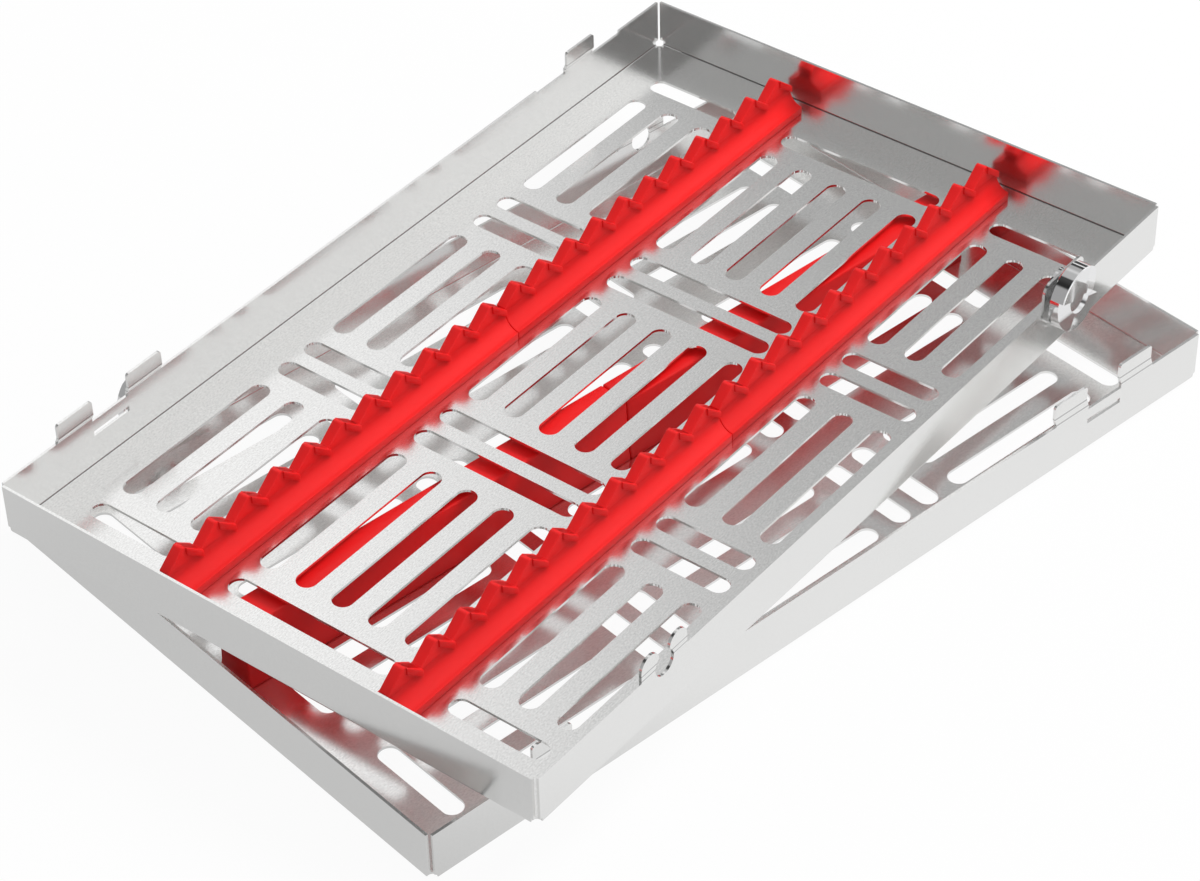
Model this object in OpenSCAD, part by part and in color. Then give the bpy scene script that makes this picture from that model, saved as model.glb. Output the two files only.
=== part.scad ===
// Dental instrument cassette: two pressed steel trays that hinge and lock face to face.
// The halves are shown apart, as they are laid out to be loaded: the half with the
// hold-down bar lies open side up, and the half with the toothed rails lies on its lugs.
// Origin: middle of the lower tray's underside. X runs along the lower tray, Z is up.

/* [Trays] */
// Length of each tray over its end walls
tray_l = 285.4; // [265:0.1:300]
// Width of each tray over its long walls
tray_w = 180; // [170:0.5:195]
// Height of each tray, so that half of the closed cassette
tray_h = 15.8; // [15.6:0.1:17]
// Thickness of the steel sheet
sheet_t = 0.8; // [0.7:0.05:0.9]
// Outside radius of the bend between floor and walls
bend_r = 1.2; // [1.1:0.05:1.4]
// Radius of the round relief hole at each floor corner
relief_r = 1.4; // [1.3:0.1:1.6]

/* [Floor slots] */
// Width of every floor slot
slot_w = 6.2; // [5:0.1:6.6]
// Steel left between the long slots and the cross slots
web_w = 6.25; // [5:0.05:7]
// Steel left between the two cross slots of a pair
pair_web = 4.75; // [4:0.05:5.5]
// Floor left plain at each end
end_margin = 16.9; // [14:0.1:20]
// Floor left plain along each long wall
side_margin = 12.7; // [11.7:0.1:14]

/* [Hinge tabs] */
// Distance from the tray's end to the middle of its hinge tabs
hinge_inset = 40.9; // [38:0.1:46]
// Width of one tab
tab_w = 13.1; // [11:0.1:14]
// Height of a tab over the rim
tab_h = 6.6; // [5.6:0.1:6.6]
// Play of a tab in the other tray's gap and slot, each side
tab_play = 0.2; // [0.15:0.05:0.4]
// Depth of the step in the rim that clears the other tray's bends
rim_step = 1; // [0.8:0.1:1.2]
// Height over the rim where a tab starts to step inwards
tab_bend_z = 0.4; // [0.3:0.1:0.6]
// Height that the step takes
tab_bend_h = 1.8; // [1.6:0.1:2.2]
// Radius on a tab's corners
tab_corner_r = 1; // [0.6:0.1:1.4]
// Height of the tab slot over the tray's underside
tab_slot_z = 9.7; // [9:0.1:10]
// Height of the tab slot
tab_slot_h = 1.6; // [1.4:0.1:1.8]

/* [Latch] */
// Distance from the tray's end to the latch, and from the other end to the catch lug
latch_inset = 50.7; // [48:0.1:56]
// Diameter of the turning knob
knob_d = 19.5; // [18:0.1:20.5]
// Thickness of the knob over its two raised grips
knob_t = 4.6; // [4.2:0.1:5]
// Diameter of the shallow recess in the middle of the knob's face
hub_d = 8.8; // [8:0.1:9.6]
// Depth of that recess
hub_recess = 0.7; // [0.5:0.1:1]
// Depth to which each finger ramp sinks at the knob's rim
ramp_d = 1.5; // [1.2:0.1:1.8]
// Angle that each finger ramp takes of the knob's face
ramp_a = 80; // [60:1:88]
// Angle from the shaft's flats to where a finger ramp starts
grip_turn = 20; // [10:1:30]
// Chamfer round the knob's edges
knob_edge = 0.3; // [0.2:0.05:0.5]
// Gap between the knob and the wall that it turns over
knob_gap = 0.25; // [0.2:0.05:0.4]
// Angle of the shaft's flats over the rim, as the cassette is shown
knob_rest = 40; // [30:1:50]
// Diameter of the shaft where it turns in the latch plate
journal_d = 7.24; // [7:0.02:7.4]
// Radial running clearance of the shaft in the latch plate
journal_play = 0.08; // [0.05:0.01:0.1]
// Thickness of the shaft over its two flats
flat_t = 4; // [3.6:0.1:4.2]
// Play of the catch lug's mouth over the flats, each side
mouth_play = 0.15; // [0.1:0.05:0.25]
// Height of the catch lug over the rim
lug_h = 6.7; // [6.6:0.1:7]
// Width of one rounded finger of the catch lug
finger_w = 7.15; // [6.4:0.05:7.6]
// Radius of the cut-out in the wall behind the knob
cutout_r = 17.2; // [16.5:0.1:18]
// Depth of that cut-out under the rim
cutout_depth = 9; // [8.4:0.1:9.6]
// Width of the latch plate's ear over the rim
ear_w = 20; // [18.6:0.1:22]
// Height of the latch plate's ear over the rim
ear_h = 7.3; // [6.8:0.1:7.8]
// Steel of the latch plate round the cut-out
plate_lap = 2.5; // [2:0.1:3]
// Thickness of the wave washer
washer_t = 0.5; // [0.4:0.05:0.6]
// Thickness of the keyed disc on the inside
disc_t = 1; // [0.8:0.1:1.4]
// Diameter of the keyed disc
disc_d = 13; // [12:0.1:14]
// Thread diameter of the latch screw
screw_d = 2.4; // [2:0.1:2.6]

/* [Toothed rails] */
// Least gap between the last tooth of a rail and the end wall
rail_end_gap = 3; // [2:0.5:5]
// Spacing of the teeth, of which the first valley lies at the joint
tooth_pitch = 12.44; // [11:0.02:13]
// Height of the teeth
tooth_h = 5; // [4:0.1:5.4]
// Radius on the tooth tips
tip_r = 1.2; // [0.8:0.1:1.4]
// Thickness of the tongue that carries the teeth
tongue_t = 3.2; // [3:0.1:3.8]
// How far the ribs stand out from the tongue
rib_out = 0.9; // [0.6:0.1:1.2]
// Thickness of the ribs under the tooth slopes
rib_t = 2; // [1.6:0.1:2.4]
// Height of the valleys between the teeth over the floor
valley_h = 8.6; // [8.2:0.1:9]
// Height over the floor where the tongue meets the sloping sides
shoulder_h = 6; // [5.6:0.1:6.4]
// Width of a rail at the floor
foot_w = 12.3; // [11.6:0.1:13]
// Height of a rail's upright edge at the floor
foot_h = 2.6; // [2.2:0.1:3]
// Gap at the joint between the two halves of a rail or bar
joint_gap = 0.25; // [0.2:0.05:0.4]

/* [Hold-down bar] */
// Length of one half of the bar
bar_l = 133.75; // [126:0.25:136]
// Height of the bar over the floor
bar_h = 20; // [16:0.5:21]
// Width of the bar at its top
bar_top_w = 10.4; // [9.5:0.1:11.5]
// Width of the bar at the floor
bar_foot_w = 13.6; // [12.6:0.1:14.6]
// Thickness of the silicone round the hollow
bar_wall = 2.1; // [1.8:0.1:2.4]
// Radius on the bar's top edges
bar_edge_r = 0.8; // [0.4:0.1:1.2]

/* [Grip strips] */
// Width of the strip's head, which the silicone grips
head_w = 7.4; // [6.6:0.1:7.6]
// Width of the strip's neck
neck_w = 3; // [2.4:0.1:3.4]
// Height of the neck
neck_h = 1.2; // [1:0.1:1.4]
// Thickness of the head
head_t = 0.8; // [0.7:0.05:1]
// Play of the silicone round the strip
grip_play = 0.05; // [0.03:0.01:0.1]

/* [Stacking] */
// Turn of the upper tray over the lower one
stack_turn = 10; // [0:1:10]
// Shift of the upper tray along the lower one
stack_x = -0.5; // [-3:0.1:3]
// Shift of the upper tray across the lower one
stack_y = 2.8; // [0:0.1:6]
// Gap between the upper tray and the lugs that carry it
stack_gap = 0.3; // [0.2:0.1:0.4]

/* [Hidden] */
$fn = 48;
steel = "#C9CAC8";
chrome = "#E4E6E8";
silicone = "#E8202A";
// A cut runs this far past the faces that it opens
past = 1;
// Half sizes of a tray, to the outside of its walls
end_x = tray_l / 2;
wall_y = tray_w / 2;
// Long slots fill what the cross slots, webs and margins leave, in three equal blocks
slot_l = (tray_l - 2 * end_margin - 6 * slot_w - 6 * web_w - 2 * pair_web) / 3;
block_pitch = slot_l + 2 * web_w + 2 * slot_w + pair_web;
pair_x = slot_l / 2 + web_w + slot_w / 2;
end_slot_x = end_x - end_margin - slot_w / 2;
// Thirteen rows across, of which the third each side of the middle is left for a rail
row_pitch = (wall_y - side_margin - slot_w / 2) / 6;
rail_y = 3 * row_pitch;
hinge_x = end_x - hinge_inset;
latch_x = end_x - latch_inset;
tab_gap = tab_w + 2 * tab_play;
// The mouth of the catch lug passes the flats, and its round seat takes the full shaft
mouth_w = flat_t + 2 * mouth_play;
seat_r = journal_d / 2 + mouth_play;
lug_w = mouth_w + 2 * finger_w;
finger_z = lug_h - finger_w / 2;
hole_r = journal_d / 2 + journal_play;
knob_r = knob_d / 2;
screw_r = screw_d / 2;
screw_head_r = screw_r * 2;
screw_head_t = 1.2;
// Stack of the latch along its shaft, counted inwards from the outside of the wall
plate_in = sheet_t;
washer_in = plate_in + sheet_t;
disc_in = washer_in + washer_t;
screw_in = disc_in + disc_t;
// The thread starts halfway between the recess and the knob's back
thread_start = -knob_gap - (knob_t - hub_recess) / 2;
// A rail half has as many whole teeth as fit between its joint and the end wall
teeth = floor((end_x - sheet_t - rail_end_gap) / tooth_pitch);
rail_l = teeth * tooth_pitch;
slope_a = atan(tooth_h / (tooth_pitch / 2));
stack_z = tray_h + lug_h + stack_gap;

// A slot with round ends, cut through the floor
module slot(length, width) {
    for (end = [-1, 1])
        translate([end * (length - width) / 2, 0, -past])
            cylinder(d = width, h = sheet_t + 2 * past);
    translate([-(length - width) / 2, -width / 2, -past])
        cube([length - width, width, sheet_t + 2 * past]);
}

// One band of slots: long slots in three blocks, and the cross slots between and beside them
module slot_band(first_row, last_row) {
    middle_y = (first_row + last_row) / 2 * row_pitch;
    cross_l = (last_row - first_row) * row_pitch + slot_w;
    for (block = [-1:1], row = [first_row:last_row])
        translate([block * block_pitch, row * row_pitch, 0])
            slot(slot_l, slot_w);
    for (side = [-1, 1], x = [pair_x, pair_x + slot_w + pair_web, end_slot_x])
        translate([side * x, middle_y, 0])
            rotate([0, 0, 90])
                slot(cross_l, slot_w);
}

// Profile of a wall with its bend: outside face at 0, floor towards negative
module wall_profile() {
    translate([-sheet_t, bend_r])
        square([sheet_t, tray_h - bend_r]);
    intersection() {
        translate([-bend_r, 0])
            square([bend_r, bend_r]);
        translate([-bend_r, bend_r])
            difference() {
                circle(r = bend_r);
                circle(r = bend_r - sheet_t);
            }
    }
}

// A straight wall of the given length, with its outside face in the plane x = 0
module wall(length) {
    rotate([90, 0, 0])
        translate([0, 0, -length / 2])
            linear_extrude(length)
                wall_profile();
}

// A hinge tab that steps inwards by one sheet, standing on the rim of the +Y wall
module hinge_tab() {
    root_z = tray_h - 2 * rim_step;
    top_z = tray_h + tab_h;
    bend_in = tray_h + tab_bend_z;
    bend_out = bend_in + tab_bend_h;
    intersection() {
        rotate([90, 0, 90])
            translate([0, 0, -tab_w / 2])
                linear_extrude(tab_w)
                    polygon([
                        [wall_y, root_z], [wall_y, bend_in],
                        [wall_y - sheet_t, bend_out], [wall_y - sheet_t, top_z],
                        [wall_y - 2 * sheet_t, top_z], [wall_y - 2 * sheet_t, bend_out - tab_bend_z],
                        [wall_y - sheet_t, bend_in - tab_bend_z], [wall_y - sheet_t, root_z]
                    ]);
        translate([0, wall_y + past, 0])
            rotate([90, 0, 0])
                linear_extrude(3 * sheet_t + 2 * past) {
                    translate([-tab_w / 2, 0])
                        square([tab_w, top_z - tab_corner_r]);
                    for (side = [-1, 1])
                        translate([side * (tab_w / 2 - tab_corner_r), top_z - tab_corner_r])
                            circle(r = tab_corner_r);
                    translate([-tab_w / 2 + tab_corner_r, tray_h])
                        square([tab_w - 2 * tab_corner_r, tab_h]);
                }
    }
}

// Catch lug: two round fingers either side of a round seat with a narrow mouth
module catch_lug() {
    finger_x = mouth_w / 2 + finger_w / 2;
    difference() {
        translate([0, -wall_y + sheet_t, tray_h])
            rotate([90, 0, 0])
                linear_extrude(sheet_t) {
                    translate([-lug_w / 2, -rim_step])
                        square([lug_w, finger_z + rim_step]);
                    for (side = [-1, 1])
                        translate([side * finger_x, finger_z])
                            circle(d = finger_w);
                }
        catch_seat();
    }
}

// The opening that the catch lug and the wall under it share
module catch_seat() {
    translate([0, -wall_y + sheet_t + past, tray_h])
        rotate([90, 0, 0])
            linear_extrude(sheet_t + 2 * past) {
                circle(r = seat_r);
                translate([-mouth_w / 2, 0])
                    square([mouth_w, lug_h + past]);
            }
}

// One pressed tray: its hinge tabs stand on the +Y wall, its latch and catch lug on the -Y wall
module tray() {
    color(steel)
        difference() {
            union() {
                translate([-end_x + bend_r, -wall_y + bend_r, 0])
                    cube([tray_l - 2 * bend_r, tray_w - 2 * bend_r, sheet_t]);
                for (turn = [0, 180]) {
                    rotate([0, 0, turn])
                        translate([end_x, 0, 0])
                            wall(tray_w - 2 * bend_r);
                    rotate([0, 0, turn + 90])
                        translate([wall_y, 0, 0])
                            wall(tray_l - 2 * bend_r);
                }
                translate([-latch_x, 0, 0])
                    catch_lug();
            }
            slot_band(-2, 2);
            slot_band(4, 6);
            slot_band(-6, -4);
            for (x = [-1, 1], y = [-1, 1])
                translate([x * (end_x - bend_r), y * (wall_y - bend_r), -past])
                    cylinder(r = relief_r, h = bend_r + past + sheet_t);
            // Rim steps beside the tabs, and the slot that takes the other tray's tab
            translate([-hinge_x - tab_gap / 2, wall_y - 2 * sheet_t, tray_h - rim_step])
                cube([tab_gap, 3 * sheet_t, rim_step + past]);
            translate([hinge_x - 1.5 * tab_gap, wall_y - 2 * sheet_t, tray_h - rim_step])
                cube([3 * tab_gap, 3 * sheet_t, rim_step + past]);
            translate([-hinge_x - tab_gap / 2, wall_y - 2 * sheet_t, tab_slot_z])
                cube([tab_gap, 3 * sheet_t, tab_slot_h]);
            translate([latch_x, -wall_y + 2 * sheet_t, tray_h + cutout_r - cutout_depth])
                rotate([90, 0, 0])
                    cylinder(r = cutout_r, h = 3 * sheet_t, $fn = 96);
            translate([-latch_x, 0, 0])
                catch_seat();
        }
    color(steel)
        for (x = [hinge_x, -hinge_x - tab_w - tab_play, -hinge_x + tab_w + tab_play])
            translate([x, 0, 0])
                hinge_tab();
}

// Everything below is placed on the latch axis: Y runs inwards from the outside of the wall
module at_latch() {
    translate([latch_x, -wall_y, tray_h])
        rotate([-90, 0, 0])
            children();
}

// Plate behind the cut-out, with an ear over the rim that carries the shaft
module latch_plate() {
    half_w = sqrt(pow(cutout_r, 2) - pow(cutout_r - cutout_depth, 2)) + plate_lap;
    low_z = -cutout_depth - plate_lap;
    corner_r = 3;
    color(steel)
        at_latch()
            translate([0, 0, plate_in])
                difference() {
                    mirror([0, 1, 0])
                        linear_extrude(sheet_t) {
                            translate([-half_w, low_z + corner_r])
                                square([2 * half_w, -low_z - corner_r - rim_step]);
                            translate([-half_w + corner_r, low_z])
                                square([2 * half_w - 2 * corner_r, corner_r]);
                            for (side = [-1, 1])
                                translate([side * (half_w - corner_r), low_z + corner_r])
                                    circle(r = corner_r);
                            translate([-ear_w / 2, -rim_step - past])
                                square([ear_w, ear_h - corner_r + rim_step + past]);
                            translate([-ear_w / 2 + corner_r, 0])
                                square([ear_w - 2 * corner_r, ear_h]);
                            for (side = [-1, 1])
                                translate([side * (ear_w / 2 - corner_r), ear_h - corner_r])
                                    circle(r = corner_r);
                        }
                    translate([0, 0, -past])
                        cylinder(r = hole_r, h = sheet_t + 2 * past);
                }
}

// Shaft section left between two flats
module flatted(length) {
    intersection() {
        cylinder(d = journal_d, h = length);
        translate([-flat_t / 2, -journal_d, 0])
            cube([flat_t, 2 * journal_d, length]);
    }
}

// Space over one finger ramp, which sinks from the face and ends at a step
module ramp_space(face) {
    reach = 2 * knob_r;
    intersection() {
        translate([0, 0, face])
            rotate([atan(ramp_d / (knob_r * sin(ramp_a))), 0, 0])
                translate([-reach, 0, -knob_t])
                    cube([2 * reach, reach, knob_t]);
        rotate([0, 0, ramp_a])
            translate([-reach, -reach, face - past])
                cube([2 * reach, reach, knob_t]);
    }
}

// Knob with its shaft: two raised grips, with a finger ramp up to each of them
module knob() {
    face = -knob_gap - knob_t;
    color(chrome)
        at_latch()
            rotate([0, 0, -knob_rest])
                difference() {
                    union() {
                        translate([0, 0, face])
                            cylinder(r1 = knob_r - knob_edge, r2 = knob_r, h = knob_edge, $fn = 96);
                        translate([0, 0, face + knob_edge])
                            cylinder(r = knob_r, h = knob_t - 2 * knob_edge, $fn = 96);
                        translate([0, 0, -knob_gap - knob_edge])
                            cylinder(r1 = knob_r, r2 = knob_r - knob_edge, h = knob_edge, $fn = 96);
                        translate([0, 0, -knob_gap - knob_edge])
                            rotate([0, 0, 90])
                                flatted(knob_gap + knob_edge + screw_in);
                        translate([0, 0, plate_in])
                            cylinder(d = journal_d, h = sheet_t);
                    }
                    translate([0, 0, face - past])
                        cylinder(d = hub_d, h = hub_recess + past);
                    for (turn = [0, 180])
                        rotate([0, 0, turn - grip_turn])
                            ramp_space(face);
                    translate([0, 0, thread_start])
                        cylinder(r = screw_r, h = screw_in - thread_start + past);
                }
}

// Wave washer that holds the knob where it is set
module wave_washer() {
    ring_w = 2.6;
    color(steel)
        at_latch()
            translate([0, 0, washer_in])
                difference() {
                    cylinder(r = hole_r + ring_w, h = washer_t);
                    translate([0, 0, -past])
                        cylinder(r = hole_r, h = washer_t + 2 * past);
                }
}

// Disc keyed on the shaft's flats
module keyed_disc() {
    color(chrome)
        at_latch()
            rotate([0, 0, -knob_rest])
                translate([0, 0, disc_in])
                    difference() {
                        cylinder(d = disc_d, h = disc_t);
                        translate([0, 0, -past])
                            rotate([0, 0, 90])
                                flatted_hole(disc_t + 2 * past);
                    }
}

// Hole that the flatted shaft fills with its running clearance
module flatted_hole(length) {
    intersection() {
        cylinder(r = hole_r, h = length);
        translate([-flat_t / 2 - journal_play, -journal_d, 0])
            cube([flat_t + 2 * journal_play, 2 * journal_d, length]);
    }
}

// Screw that closes the latch on the inside
module latch_screw() {
    thread_l = screw_in - thread_start - past / 2;
    driver_w = 0.6;
    color(chrome)
        at_latch()
            rotate([0, 0, -knob_rest])
                difference() {
                    union() {
                        translate([0, 0, screw_in - thread_l])
                            cylinder(r = screw_r - grip_play, h = thread_l + screw_head_t / 2);
                        translate([0, 0, screw_in])
                            cylinder(r = screw_head_r, h = screw_head_t);
                    }
                    translate([-screw_head_r, -driver_w / 2, screw_in + screw_head_t / 2])
                        cube([2 * screw_head_r, driver_w, screw_head_t]);
                }
}

// A profile drawn across the tray, run along X from one end to the other
module along_x(from, to) {
    translate([from, 0, 0])
        rotate([90, 0, 90])
            linear_extrude(to - from)
                children();
}

// Steel strip with a head, welded to the floor: the silicone's groove grips it
module strip_profile(play) {
    translate([-neck_w / 2 - play, -play])
        square([neck_w + 2 * play, neck_h + 2 * play]);
    translate([-head_w / 2 - play, neck_h - play])
        square([head_w + 2 * play, head_t + 2 * play]);
}

module grip_strip(y, half_l) {
    inset = 3;
    color(steel)
        translate([0, y, sheet_t])
            along_x(-half_l + inset, half_l - inset)
                strip_profile(0);
}

// Foot and hollow sides of a toothed rail, up to the tongue
module rail_profile() {
    flank_w = (foot_w - tongue_t) / 2;
    flank_h = shoulder_h - foot_h;
    // Circle through both ends of the flank, which leaves it slightly hollow
    flank_r = 8;
    chord = sqrt(pow(flank_w, 2) + pow(flank_h, 2));
    drop = sqrt(pow(flank_r, 2) - pow(chord / 2, 2));
    difference() {
        polygon([
            [-foot_w / 2, 0], [foot_w / 2, 0], [foot_w / 2, foot_h],
            [tongue_t / 2, shoulder_h], [-tongue_t / 2, shoulder_h], [-foot_w / 2, foot_h]
        ]);
        for (side = [-1, 1])
            translate([
                side * (tongue_t / 2 + flank_w / 2 + drop * flank_h / chord),
                foot_h + flank_h / 2 + drop * flank_w / chord
            ])
                circle(r = flank_r, $fn = 120);
        strip_profile(grip_play);
    }
}

// Points of one tooth's slopes and rounded tip, from the valley before it to the one behind it
function tooth_points() =
    let (centre_z = valley_h + tooth_h - tip_r / cos(slope_a))
    concat(
        [[0, valley_h]],
        [for (step = [3 : -1 : -3])
            let (a = 90 + step * slope_a / 3)
            [tooth_pitch / 2 + tip_r * cos(a), centre_z + tip_r * sin(a)]],
        [[tooth_pitch, valley_h]]
    );

// The piece of tongue that carries one tooth, from inside the foot up
module tooth_outline() {
    root_z = shoulder_h - foot_h / 2;
    polygon(concat([[0, root_z]], tooth_points(), [[tooth_pitch, root_z]]));
}

// Rib under the far slope of one tooth, which ends over the valley
module rib_outline() {
    slope = [for (i = [7, 8]) tooth_points()[i]];
    slope_drop = rib_t / cos(slope_a);
    cut_in = rib_t * sin(slope_a);
    polygon([
        slope[0], slope[1], slope[1] - [0, slope_drop * 0.6],
        slope[1] - [cut_in, slope_drop - cut_in * tan(slope_a)], slope[0] - [0, slope_drop]
    ]);
}

// An outline repeated for every tooth of one half rail, cut at the joint, as a plate
module tooth_row(side, thickness) {
    translate([0, thickness / 2, 0])
        rotate([90, 0, 0])
            linear_extrude(thickness)
                difference() {
                    for (i = [0 : teeth - 1])
                        translate([(side < 0 ? -1 - i : i) * tooth_pitch, 0])
                            children();
                    translate([-joint_gap / 2, 0])
                        square([joint_gap, tray_h]);
                }
}

// Toothed rail from the joint in the middle to the valley behind its last tooth
module rail_half(side, y) {
    cut = joint_gap / 2;
    color(silicone)
        translate([0, y, sheet_t]) {
            along_x(side < 0 ? -rail_l : cut, side < 0 ? -cut : rail_l)
                rail_profile();
            tooth_row(side, tongue_t)
                tooth_outline();
            tooth_row(side, tongue_t + 2 * rib_out)
                rib_outline();
        }
}

// Hollow hold-down bar, which bends aside over the instruments when the halves close
module bar_profile() {
    waist_w = bar_top_w + (bar_foot_w - bar_top_w) * 0.6;
    floor_t = neck_h + head_t + bar_wall;
    difference() {
        union() {
            polygon([
                [-bar_foot_w / 2, 0], [bar_foot_w / 2, 0], [waist_w / 2, foot_h],
                [bar_top_w / 2, bar_h - bar_edge_r], [-bar_top_w / 2, bar_h - bar_edge_r],
                [-waist_w / 2, foot_h]
            ]);
            translate([-bar_top_w / 2 + bar_edge_r, bar_h - 2 * bar_edge_r])
                square([bar_top_w - 2 * bar_edge_r, 2 * bar_edge_r]);
            for (side = [-1, 1])
                translate([side * (bar_top_w / 2 - bar_edge_r), bar_h - bar_edge_r])
                    circle(r = bar_edge_r);
        }
        translate([-bar_top_w / 2 + bar_wall, floor_t])
            square([bar_top_w - 2 * bar_wall, bar_h - floor_t - bar_wall]);
        strip_profile(grip_play);
    }
}

module bar_half(side) {
    cut = joint_gap / 2;
    color(silicone)
        translate([0, 0, sheet_t])
            along_x(side < 0 ? -bar_l : cut, side < 0 ? -cut : bar_l)
                bar_profile();
}

// The lower half is turned half round, so its hinge side faces the front
module in_lower() {
    rotate([0, 0, 180])
        children();
}

module in_upper() {
    translate([stack_x, stack_y, stack_z])
        rotate([0, 0, stack_turn])
            children();
}

module lower_tray() { in_lower() tray(); }
module lower_latch_plate() { in_lower() latch_plate(); }
module lower_knob() { in_lower() knob(); }
module lower_wave_washer() { in_lower() wave_washer(); }
module lower_keyed_disc() { in_lower() keyed_disc(); }
module lower_latch_screw() { in_lower() latch_screw(); }
module hold_bar_strip() { grip_strip(0, bar_l); }
module hold_bar_left() { bar_half(-1); }
module hold_bar_right() { bar_half(1); }
module upper_tray() { in_upper() tray(); }
module upper_latch_plate() { in_upper() latch_plate(); }
module upper_knob() { in_upper() knob(); }
module upper_wave_washer() { in_upper() wave_washer(); }
module upper_keyed_disc() { in_upper() keyed_disc(); }
module upper_latch_screw() { in_upper() latch_screw(); }
module rail_strip_hinge_side() { in_upper() grip_strip(rail_y, rail_l); }
module rail_strip_latch_side() { in_upper() grip_strip(-rail_y, rail_l); }
module rail_hinge_left() { in_upper() rail_half(-1, rail_y); }
module rail_hinge_right() { in_upper() rail_half(1, rail_y); }
module rail_latch_left() { in_upper() rail_half(-1, -rail_y); }
module rail_latch_right() { in_upper() rail_half(1, -rail_y); }

lower_tray();
lower_latch_plate();
lower_knob();
lower_wave_washer();
lower_keyed_disc();
lower_latch_screw();
hold_bar_strip();
hold_bar_left();
hold_bar_right();
upper_tray();
upper_latch_plate();
upper_knob();
upper_wave_washer();
upper_keyed_disc();
upper_latch_screw();
rail_strip_hinge_side();
rail_strip_latch_side();
rail_hinge_left();
rail_hinge_right();
rail_latch_left();
rail_latch_right();
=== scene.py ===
"""Dental instrument cassette: two perforated steel trays with red silicone rails, laid apart."""

import math

import bmesh
import bpy
from mathutils import Matrix, Vector


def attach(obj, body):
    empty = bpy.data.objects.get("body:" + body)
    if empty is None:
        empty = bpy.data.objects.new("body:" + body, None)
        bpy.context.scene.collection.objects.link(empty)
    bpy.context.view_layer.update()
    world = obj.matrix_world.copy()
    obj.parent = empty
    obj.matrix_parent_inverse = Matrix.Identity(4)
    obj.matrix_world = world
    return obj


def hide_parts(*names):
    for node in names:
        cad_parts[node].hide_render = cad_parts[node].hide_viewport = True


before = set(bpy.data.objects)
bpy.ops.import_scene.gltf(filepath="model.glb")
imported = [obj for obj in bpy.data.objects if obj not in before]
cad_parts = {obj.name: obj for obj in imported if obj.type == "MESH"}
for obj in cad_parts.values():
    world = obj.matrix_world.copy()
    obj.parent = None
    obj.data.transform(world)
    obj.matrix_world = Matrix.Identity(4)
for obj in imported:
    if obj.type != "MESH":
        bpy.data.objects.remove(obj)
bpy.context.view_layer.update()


# Camera. It stands where the photograph was taken from: left of the cassette and above it,
# with a long lens and a slight tilt of the horizon.

camera_place = Vector((-0.49265, -0.55766, 0.63315))
camera_azimuth = math.radians(41.126)
camera_elevation = math.radians(40.229)
camera_roll = math.radians(-1.502)
focal_pixels = 3487.46
photo_width = 1200

forward = Vector((
    math.sin(camera_azimuth) * math.cos(camera_elevation),
    math.cos(camera_azimuth) * math.cos(camera_elevation),
    -math.sin(camera_elevation),
))
level_right = Vector((math.cos(camera_azimuth), -math.sin(camera_azimuth), 0))
level_up = level_right.cross(forward)
right = math.cos(camera_roll) * level_right + math.sin(camera_roll) * level_up
up = right.cross(forward)
camera_turn = Matrix((right, up, -forward)).transposed().to_4x4()

camera_data = bpy.data.cameras.new("camera")
camera_data.sensor_width = 36
camera_data.lens = focal_pixels / photo_width * camera_data.sensor_width
camera_data.clip_start = 0.05
camera_data.clip_end = 50
camera = bpy.data.objects.new("camera", camera_data)
camera.matrix_world = Matrix.Translation(camera_place) @ camera_turn
bpy.context.scene.collection.objects.link(camera)
bpy.context.scene.camera = camera
bpy.context.scene.view_settings.view_transform = "Standard"
bpy.context.scene.cycles.max_bounces = 16
bpy.context.scene.cycles.glossy_bounces = 12


# Studio. The cassette lies on a plain white table in a bright, soft room. Steel mirrors that
# room, so the things in it that are dimmer than its walls stand where the photograph shows them.

class Wire:
    """A node's output that takes part in Python sums, which add their Math nodes."""

    def __init__(self, finish, socket):
        self.finish, self.socket = finish, socket

    def math(self, operation, first, second=0.0):
        return self.finish.node("Math", {"operation": operation}, {0: first, 1: second})

    def __add__(self, other):
        return self.math("ADD", self, other)

    def __sub__(self, other):
        return self.math("SUBTRACT", self, other)

    def __rsub__(self, other):
        return self.math("SUBTRACT", other, self)

    def __mul__(self, other):
        return self.math("MULTIPLY", self, other)

    def __lt__(self, other):
        return self.math("LESS_THAN", self, other)

    def __gt__(self, other):
        return self.math("GREATER_THAN", self, other)

    def __abs__(self):
        return self.math("ABSOLUTE", self)

    __radd__ = __add__
    __rmul__ = __mul__


class Finish:
    """The nodes of one material or of the world."""

    def __init__(self, owner):
        owner.use_nodes = True
        self.tree = owner.node_tree
        self.tree.nodes.clear()

    def node(self, kind, settings=None, inputs=None, out=0):
        node = self.tree.nodes.new("ShaderNode" + kind)
        for name, value in (settings or {}).items():
            setattr(node, name, value)
        for name, value in (inputs or {}).items():
            if isinstance(value, Wire):
                self.tree.links.new(value.socket, node.inputs[name])
            else:
                node.inputs[name].default_value = value
        return Wire(self, node.outputs[out]) if node.outputs else None

    def split(self, vector):
        parts = self.node("SeparateXYZ", None, {0: vector})
        return [Wire(self, socket) for socket in parts.socket.node.outputs]

    def mix(self, amount, first, second):
        inputs = {0: amount, 6: first, 7: second}
        return self.node("Mix", {"data_type": "RGBA"}, inputs, 2)

    def grey(self, level):
        return self.node("CombineColor", None, {0: level, 1: level, 2: level})

    def ramp(self, value, low, high, at_low, at_high):
        """A number that eases from one level to another while a value goes from low to high."""
        ends = {0: value, 1: low, 2: high, 3: at_low, 4: at_high}
        return self.node("MapRange", {"interpolation_type": "SMOOTHSTEP"}, ends)


world = bpy.data.worlds.new("studio")
bpy.context.scene.world = world
room = Finish(world)
across, deep, high = room.split(room.node("TexCoord"))
azimuth = room.node("Math", {"operation": "ARCTAN2"}, {0: across, 1: deep})
elevation = room.node("Math", {"operation": "ARCSINE"}, {0: high})


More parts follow.
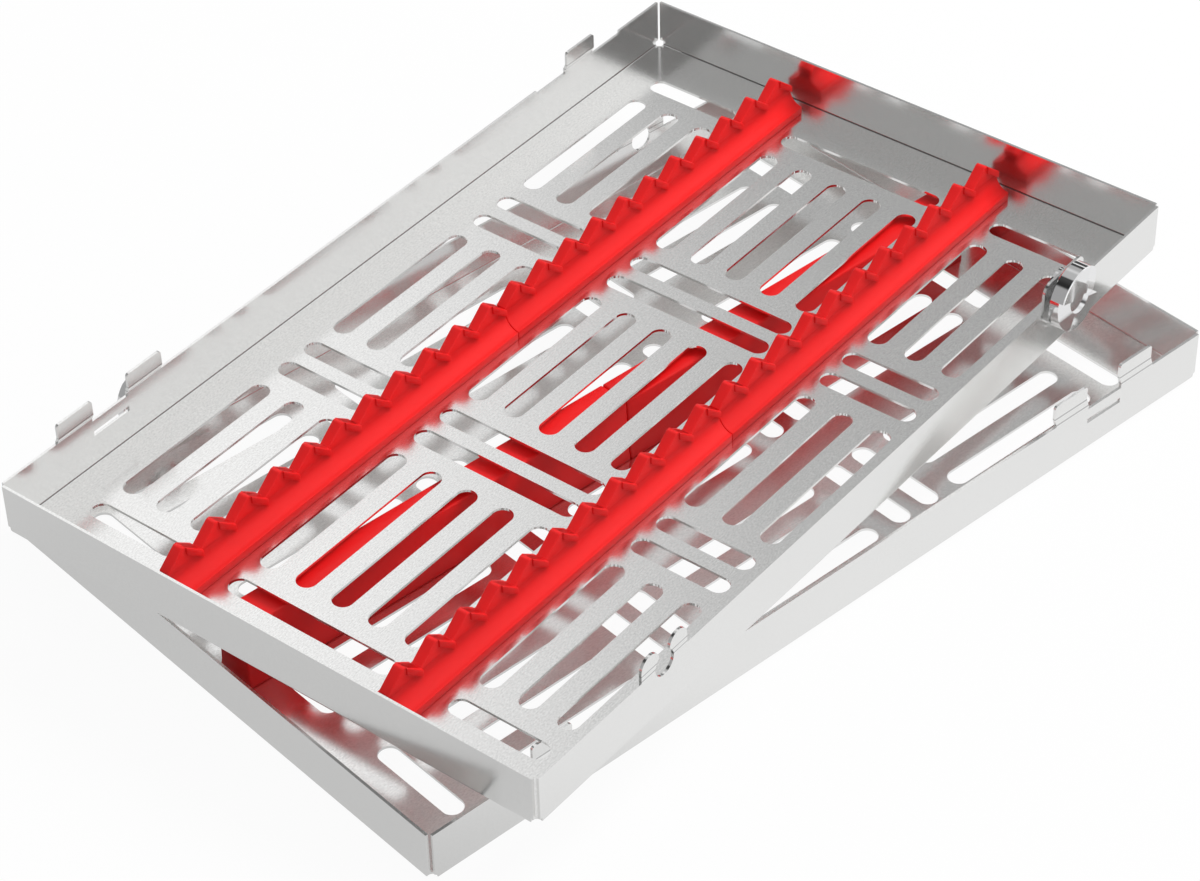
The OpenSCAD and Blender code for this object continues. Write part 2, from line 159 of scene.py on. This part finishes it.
def band(angle, low, high, ease):
    """1 between two angles in degrees, easing to 0 on both sides."""
    low, high, ease = math.radians(low), math.radians(high), math.radians(ease)
    rising = room.ramp(angle, low - ease, low + ease, 0.0, 1.0)
    falling = room.ramp(angle, high - ease, high + ease, 1.0, 0.0)
    return rising * falling


# Each dim thing: the share of light that it takes away, then its azimuths and its elevations in
# degrees (from, to, softness of the edges). Azimuth runs from the room's back towards its right,
# and a white strip runs across whatever is low at the back.
dim_things = (
    (0.55, (41, 62, 7), (-20, 75, 6)),  # grey back wall
    (0.86, (41, 66, 4), (-20, 33.5, 2)),  # dark cloth hung low before it
    (0.62, (-115, -20, 4), (-5, 62, 8)),  # left wall
    (0.93, (-70, -16, 7), (46, 78, 4)),  # dark opening above the left wall
    (0.50, (-22, 45, 10), (55, 85, 6)),  # ceiling at the back
    (0.88, (-149, -128, 5), (15, 58, 8)),  # the camera's stand
    (0.15, (119, 165, 5), (-20, 75, 6)),  # wall to the right of the camera
)
white_strip = band(azimuth, 30, 60, 5) * band(elevation, 16, 22, 1.5)
shade = 0.97
for depth, sideways, upwards in dim_things:
    there = band(azimuth, *sideways) * band(elevation, *upwards) * (1 - white_strip)
    shade = shade * (1 - depth * there)
pure_white = (1, 1, 1, 1)
seen_by_camera = room.node("LightPath")
room_color = room.mix(seen_by_camera, room.grey(shade), pure_white)
glow = room.node("Background", None, {"Color": room_color, "Strength": 1.0})
room.node("OutputWorld", None, {0: glow})

bm = bmesh.new()
bmesh.ops.create_grid(bm, x_segments=1, y_segments=1, size=4)
table_mesh = bpy.data.meshes.new("table")
bm.to_mesh(table_mesh)
bm.free()
table = bpy.data.objects.new("table", table_mesh)
bpy.context.scene.collection.objects.link(table)
table_finish = bpy.data.materials.new("white_table")
white = Finish(table_finish)
cloth = white.node("BsdfDiffuse", None, {"Color": (0.8, 0.8, 0.8, 1)})
clear = white.node("Emission", None, {"Color": pure_white, "Strength": 1.0})

# In the steel the table glows with painted light, dimmer on the left and brighter towards the lamp
table_x, table_y = white.split(white.node("TexCoord", None, None, 3))[:2]
to_lamp = white.ramp(table_x - table_y, -0.08, 0.06, 0.60, 0.84)
painted_table_glow = white.node("Emission", None, {"Color": white.grey(to_lamp), "Strength": 1.0})
seen_in_steel = white.node("LightPath", None, None, 3)
for_steel = white.node("MixShader", None, {0: seen_in_steel * 0.92, 1: cloth, 2: painted_table_glow})
for_camera = white.node("LightPath") * 0.94
table_shader = white.node("MixShader", None, {0: for_camera, 1: for_steel, 2: clear})
white.node("OutputMaterial", None, {0: table_shader})
table_mesh.materials.append(table_finish)

lamp_place = Vector((1.3, -0.3, 1.4))
lamp = bpy.data.lights.new("key_right", "AREA")
lamp.shape = "DISK"
lamp.size = 0.9
lamp.energy = 24
lamp_object = bpy.data.objects.new("key_right", lamp)
lamp_object.location = lamp_place
lamp_object.rotation_euler = (-lamp_place).to_track_quat("-Z", "Y").to_euler()
lamp_object.visible_glossy = False
bpy.context.scene.collection.objects.link(lamp_object)


# Trays. Each half is one sheet of stainless steel, punched, folded up on four sides and
# brushed along its length. The cut edges are left bright, and the folds and the tabs' two bends
# are darkened with painted shade.

MM = 0.001
stack_turn = math.radians(10)
stack_z = 22.8 * MM
stack_place = Vector((-0.5 * MM, 2.8 * MM, stack_z))
stack = Matrix.Translation(stack_place) @ Matrix.Rotation(stack_turn, 4, "Z")


def bump(finish, height, strength, distance):
    inputs = {"Strength": strength, "Distance": distance, "Height": height}
    return finish.node("Bump", None, inputs)


def steel_finish(name, turn, floor_z, roughness, fold_shade_tone, crease_shade_depth):
    """Brushed sheet: streaks follow the sheet's length and turn up with its end walls."""
    material = bpy.data.materials.new(name)
    steel = Finish(material)
    here = steel.node("TexCoord", None, None, 3)
    place = steel.node("Mapping", {"vector_type": "POINT"}, {0: here, "Rotation": (0, 0, -turn)})
    normal = steel.node("NewGeometry", None, None, 1)
    facing = steel.node("Mapping", {"vector_type": "NORMAL"}, {0: normal, "Rotation": (0, 0, turn)})
    face_x, face_y, face_z = steel.split(facing)
    z = steel.split(place)[2]

    def streaks(scale, detail):
        stretched = steel.node("Mapping", None, {0: place, "Scale": scale})
        inputs = {0: stretched, "Scale": 1.0, "Detail": detail, "Roughness": 0.65}
        return steel.node("TexNoise", {"noise_dimensions": "3D"}, inputs)

    end_wall = abs(face_x) > 0.6
    drawn_out, fine = 420, 3400
    along = streaks((drawn_out, fine, fine), 3.0)
    upward = streaks((fine, fine, drawn_out), 3.0)
    grain = along * (1 - end_wall) + upward * end_wall
    speckle = streaks((1300, 2800, 2800), 1.0)
    clouds = steel.node("TexNoise", None, {0: place, "Scale": 22.0, "Detail": 2.0})

    # Cut edges of the floor, the inside of its folds, the tabs' two bends, and the underside; the
    # folds and the bends are where shade is painted
    edge = (abs(face_z) < 0.5) * (z < floor_z + 0.75 * MM)
    shaded_fold = (face_z > 0.2) * (face_z < 0.93) * (z < floor_z + 2.5 * MM)
    lower_bend, upper_bend, half_crease = floor_z + 16.3 * MM, floor_z + 17.9 * MM, 0.16 * MM
    shaded_crease = (abs(z - lower_bend) < half_crease) + (abs(z - upper_bend) < half_crease)
    under = face_z < -0.7

    # The grain shows on the floor and hardly on the walls
    flat = 0.25 + 0.75 * (abs(face_z) > 0.9)
    grain_tone = (grain - 0.5) * 0.20 + (speckle - 0.5) * 0.42
    tone = 0.95 + grain_tone * flat + (clouds - 0.5) * 0.02
    # Painted shade: the colour is darkened in the folds and along the tabs' two bends
    tone = tone * (1 - shaded_fold * (1 - fold_shade_tone)) * (1 - shaded_crease * crease_shade_depth)
    rough = roughness + (grain - 0.5) * 0.06 + (clouds - 0.5) * 0.03 - edge * 0.05 + under * 0.2
    white_part, blue_part = tone * 0.95, tone * 0.942
    surface = steel.node("BsdfPrincipled", None, {
        "Base Color": steel.node("CombineColor", None, {0: white_part, 1: white_part, 2: blue_part}),
        "Metallic": 1.0, "Roughness": rough, "Normal": bump(steel, grain, 0.07, 0.00008),
    })
    steel.node("OutputMaterial", None, {0: surface})
    return material


def dress(node, material):
    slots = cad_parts[node].data.materials
    slots.clear()
    slots.append(material)


lower_rough, upper_rough = 0.15, 0.17
# The last two numbers set the painted shade in the folds and along the tabs' bends
dress("lower_tray", steel_finish("brushed_steel_lower", 0.0, 0.0, lower_rough, 0.85, 0.4))
dress("upper_tray", steel_finish("brushed_steel_upper", stack_turn, stack_z, upper_rough, 0.3, 0.4))


# Latch plates and grip strips. Small punched plates of the same sheet: the plates are
# spot-welded inside the wall and carry the latch shaft, the strips hold the silicone.

lower_plate_steel = steel_finish("punched_steel_lower", 0.0, 0.0, lower_rough, 1.0, 0.0)
upper_plate_steel = steel_finish("punched_steel_upper", stack_turn, stack_z, upper_rough, 1.0, 0.0)
for node in ("lower_latch_plate", "hold_bar_strip"):
    dress(node, lower_plate_steel)
for node in ("upper_latch_plate", "rail_strip_hinge_side", "rail_strip_latch_side"):
    dress(node, upper_plate_steel)


# Latches. Turned and polished knobs with their screw and keyed disc on the inside, and a
# washer of dull spring steel between disc and plate.

def polished_finish(name, shade, roughness):
    material = bpy.data.materials.new(name)
    polish = Finish(material)
    here = polish.node("TexCoord", None, None, 3)
    smears = polish.node("TexNoise", None, {0: here, "Scale": 260.0, "Detail": 3.0})
    surface = polish.node("BsdfPrincipled", None, {
        "Base Color": (shade, shade, shade * 1.005, 1), "Metallic": 1.0,
        "Roughness": roughness + smears * 0.05, "Normal": bump(polish, smears, 0.03, 0.0001),
    })
    polish.node("OutputMaterial", None, {0: surface})
    return material


chrome = polished_finish("polished_steel", 0.9, 0.04)
spring = polished_finish("spring_steel", 0.55, 0.28)
for half in ("lower", "upper"):
    for node in ("knob", "keyed_disc", "latch_screw"):
        dress(half + "_" + node, chrome)
    dress(half + "_wave_washer", spring)


# Toothed rails. Moulded red silicone in two lengths to a rail, pushed over the steel strips;
# a tongue carries the teeth, and a rib under each far slope grips the handles.

sheet = 0.8 * MM
rail_y = 37.1 * MM
half_joint = 0.125 * MM
teeth = 11
pitch = 12.44 * MM
tooth_h = 5 * MM
tip_r = 1.2 * MM
valley_z = 8.6 * MM
shoulder_z = 6 * MM
foot_z = 2.6 * MM
half_foot = 6.15 * MM
half_tongue = 1.6 * MM
rib_at_tip = 2.5 * MM
rib_at_valley = 2.3 * MM
rib_widening = 1 * MM
rib_inset = 0.02 * MM
rib_edge = 0.18 * MM
tooth_edge = 0.15 * MM
flank_edge = 0.2 * MM


def silicone_finish():
    material = bpy.data.materials.new("red_silicone")
    rubber = Finish(material)
    here = rubber.node("TexCoord", None, None, 3)
    mottle = rubber.node("TexNoise", None, {0: here, "Scale": 60.0, "Detail": 3.0})
    skin = rubber.node("TexNoise", None, {0: here, "Scale": 2600.0, "Detail": 2.0})
    deep_red, bright_red = (0.80, 0.006, 0.007, 1), (0.88, 0.009, 0.010, 1)
    surface = rubber.node("BsdfPrincipled", None, {
        "Base Color": rubber.mix(mottle, deep_red, bright_red),
        "Roughness": 0.46 + (skin - 0.5) * 0.12, "Specular IOR Level": 0.4,
        "Subsurface Weight": 0.25, "Subsurface Radius": (1.0, 0.05, 0.05), "Subsurface Scale": 0.006,
        "Normal": bump(rubber, skin, 0.06, 0.00005),
    })
    rubber.node("OutputMaterial", None, {0: surface})
    return material


silicone = silicone_finish()


def prism(bm, outline, plane, reach):
    """A closed prism: an outline in the plane of two axes, extruded along the third."""
    a, b = plane
    third = 3 - a - b
    corners = []
    for first, second in outline:
        place = [0.0, 0.0, 0.0]
        place[a], place[b], place[third] = first, second, reach[0]
        corners.append(bm.verts.new(place))
    swept = bmesh.ops.extrude_face_region(bm, geom=[bm.faces.new(corners)])
    moved = [v for v in swept["geom"] if isinstance(v, bmesh.types.BMVert)]
    step = [0.0, 0.0, 0.0]
    step[third] = reach[1] - reach[0]
    bmesh.ops.translate(bm, verts=moved, vec=step)


def round_edges(bm, radius, least=25):
    """Ease every edge that is sharper than the least angle, in degrees."""
    edges = [e for e in bm.edges if e.is_manifold and math.degrees(e.calc_face_angle(0)) > least]
    bmesh.ops.bevel(bm, geom=edges, affect="EDGES", offset=radius, offset_type="OFFSET", segments=3,
                    profile=0.5, material=-1, clamp_overlap=True)


def finished(name, bm, place, node, body):
    bmesh.ops.recalc_face_normals(bm, faces=bm.faces)
    bmesh.ops.transform(bm, matrix=place, verts=bm.verts)
    mesh = bpy.data.meshes.new(name)
    bm.to_mesh(mesh)
    bm.free()
    for polygon in mesh.polygons:
        polygon.use_smooth = True
    mesh.set_sharp_from_angle(angle=math.radians(40))
    mesh.materials.append(silicone)
    piece = bpy.data.objects.new(name, mesh)
    bpy.context.scene.collection.objects.link(piece)
    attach(piece, body)
    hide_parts(node)


def rail_plate(outline, half_width, radius, ends, widening=0.0):
    """An outline along the rail as an upright plate, cut at the rail's ends, with eased edges."""
    plate = bmesh.new()
    prism(plate, outline, (0, 2), (-half_width, half_width))
    for end, outwards in zip(ends, (-1, 1)):
        everything = plate.verts[:] + plate.edges[:] + plate.faces[:]
        bmesh.ops.bisect_plane(plate, geom=everything, plane_co=(end, 0, 0),
                               plane_no=(outwards, 0, 0), clear_outer=True)
        bmesh.ops.holes_fill(plate, edges=[e for e in plate.edges if e.is_boundary])
    if widening:
        start, reach = outline[0][0], outline[1][0] - outline[0][0]
        for v in plate.verts:
            wider = widening * (0.4 + 0.6 * (v.co.x - start) / reach)
            v.co.y = math.copysign(half_width + wider, v.co.y)
    round_edges(plate, radius)
    return plate


def toothed_rail(name, side, y, node):
    ends = sorted((side * half_joint, side * teeth * pitch))
    bm = bmesh.new()

    def add(part):
        mesh = bpy.data.meshes.new("piece_of_rail")
        part.to_mesh(mesh)
        part.free()
        bm.from_mesh(mesh)
        bpy.data.meshes.remove(mesh)

    # The hollow flank runs from the foot into the side of the tongue
    rise = shoulder_z + 1.6 * MM - foot_z
    hollow = []
    for t in [math.radians(10 * k) for k in range(10)]:
        out = half_tongue + (half_foot - half_tongue) * (1 - math.cos(t)) ** 0.8
        hollow.append((out, foot_z + rise * (1 - math.sin(t) ** 0.85)))
    mirrored = [(-out, z) for out, z in hollow]
    flanks = bmesh.new()
    prism(flanks, [(-half_foot, 0), (half_foot, 0)] + hollow[::-1] + mirrored, (1, 2), ends)
    round_edges(flanks, flank_edge, 35)
    add(flanks)

    # Round tips, and a rib under each far slope that is widest over the valley
    slope = math.atan(tooth_h / (pitch / 2))
    tip_z = valley_z + tooth_h - tip_r / math.cos(slope)
    starts = sorted(min(side * i * pitch, side * (i + 1) * pitch) for i in range(teeth))
    ridge = []
    for start in starts:
        middle, after = start + pitch / 2, start + pitch
        arc = []
        for k in range(7):
            a = math.pi / 2 + slope * (1 - k / 3)
            arc.append((middle + tip_r * math.cos(a), tip_z + tip_r * math.sin(a)))
        ridge += [(start, valley_z)] + arc
        tip_end = arc[-1]
        rib = [
            tip_end, (after, valley_z),
            (after, valley_z - rib_at_valley), (tip_end[0], tip_end[1] - rib_at_tip),
        ]
        add(rail_plate(rib, half_tongue - rib_inset, rib_edge, ends, rib_widening))
    root_z = shoulder_z - MM
    last = starts[-1] + pitch
    ridge = [(starts[0], root_z)] + ridge + [(last, valley_z), (last, root_z)]
    add(rail_plate(ridge, half_tongue, tooth_edge, ends))
    place = stack @ Matrix.Translation((0, y, sheet))
    finished(name, bm, place, node, "upper_half")


for row, y in (("hinge", rail_y), ("latch", -rail_y)):
    for word, side in (("left", -1), ("right", 1)):
        toothed_rail("silicone_rail_%s_%s" % (row, word), side, y, "rail_%s_%s" % (row, word))


# Hold-down bar. A hollow strip of the same silicone along the middle of the lower tray, pushed
# over its own steel strip, which presses on the instruments once the cassette is closed.

bar_length = 133.75 * MM
half_bar_foot = 6.8 * MM
half_bar_waist = 6.16 * MM
half_bar_top = 5.2 * MM
bar_waist_z = 2.6 * MM
bar_z = 20 * MM
bar_edge = 0.6 * MM


def hold_bar(name, side, node):
    outline = [
        (-half_bar_foot, 0), (half_bar_foot, 0), (half_bar_waist, bar_waist_z),
        (half_bar_top, bar_z), (-half_bar_top, bar_z), (-half_bar_waist, bar_waist_z),
    ]
    bm = bmesh.new()
    prism(bm, outline, (1, 2), sorted((side * half_joint, side * bar_length)))
    round_edges(bm, bar_edge, 15)
    finished(name, bm, Matrix.Translation((0, 0, sheet)), node, "lower_half")


hold_bar("silicone_bar_left", -1, "hold_bar_left")
hold_bar("silicone_bar_right", 1, "hold_bar_right")
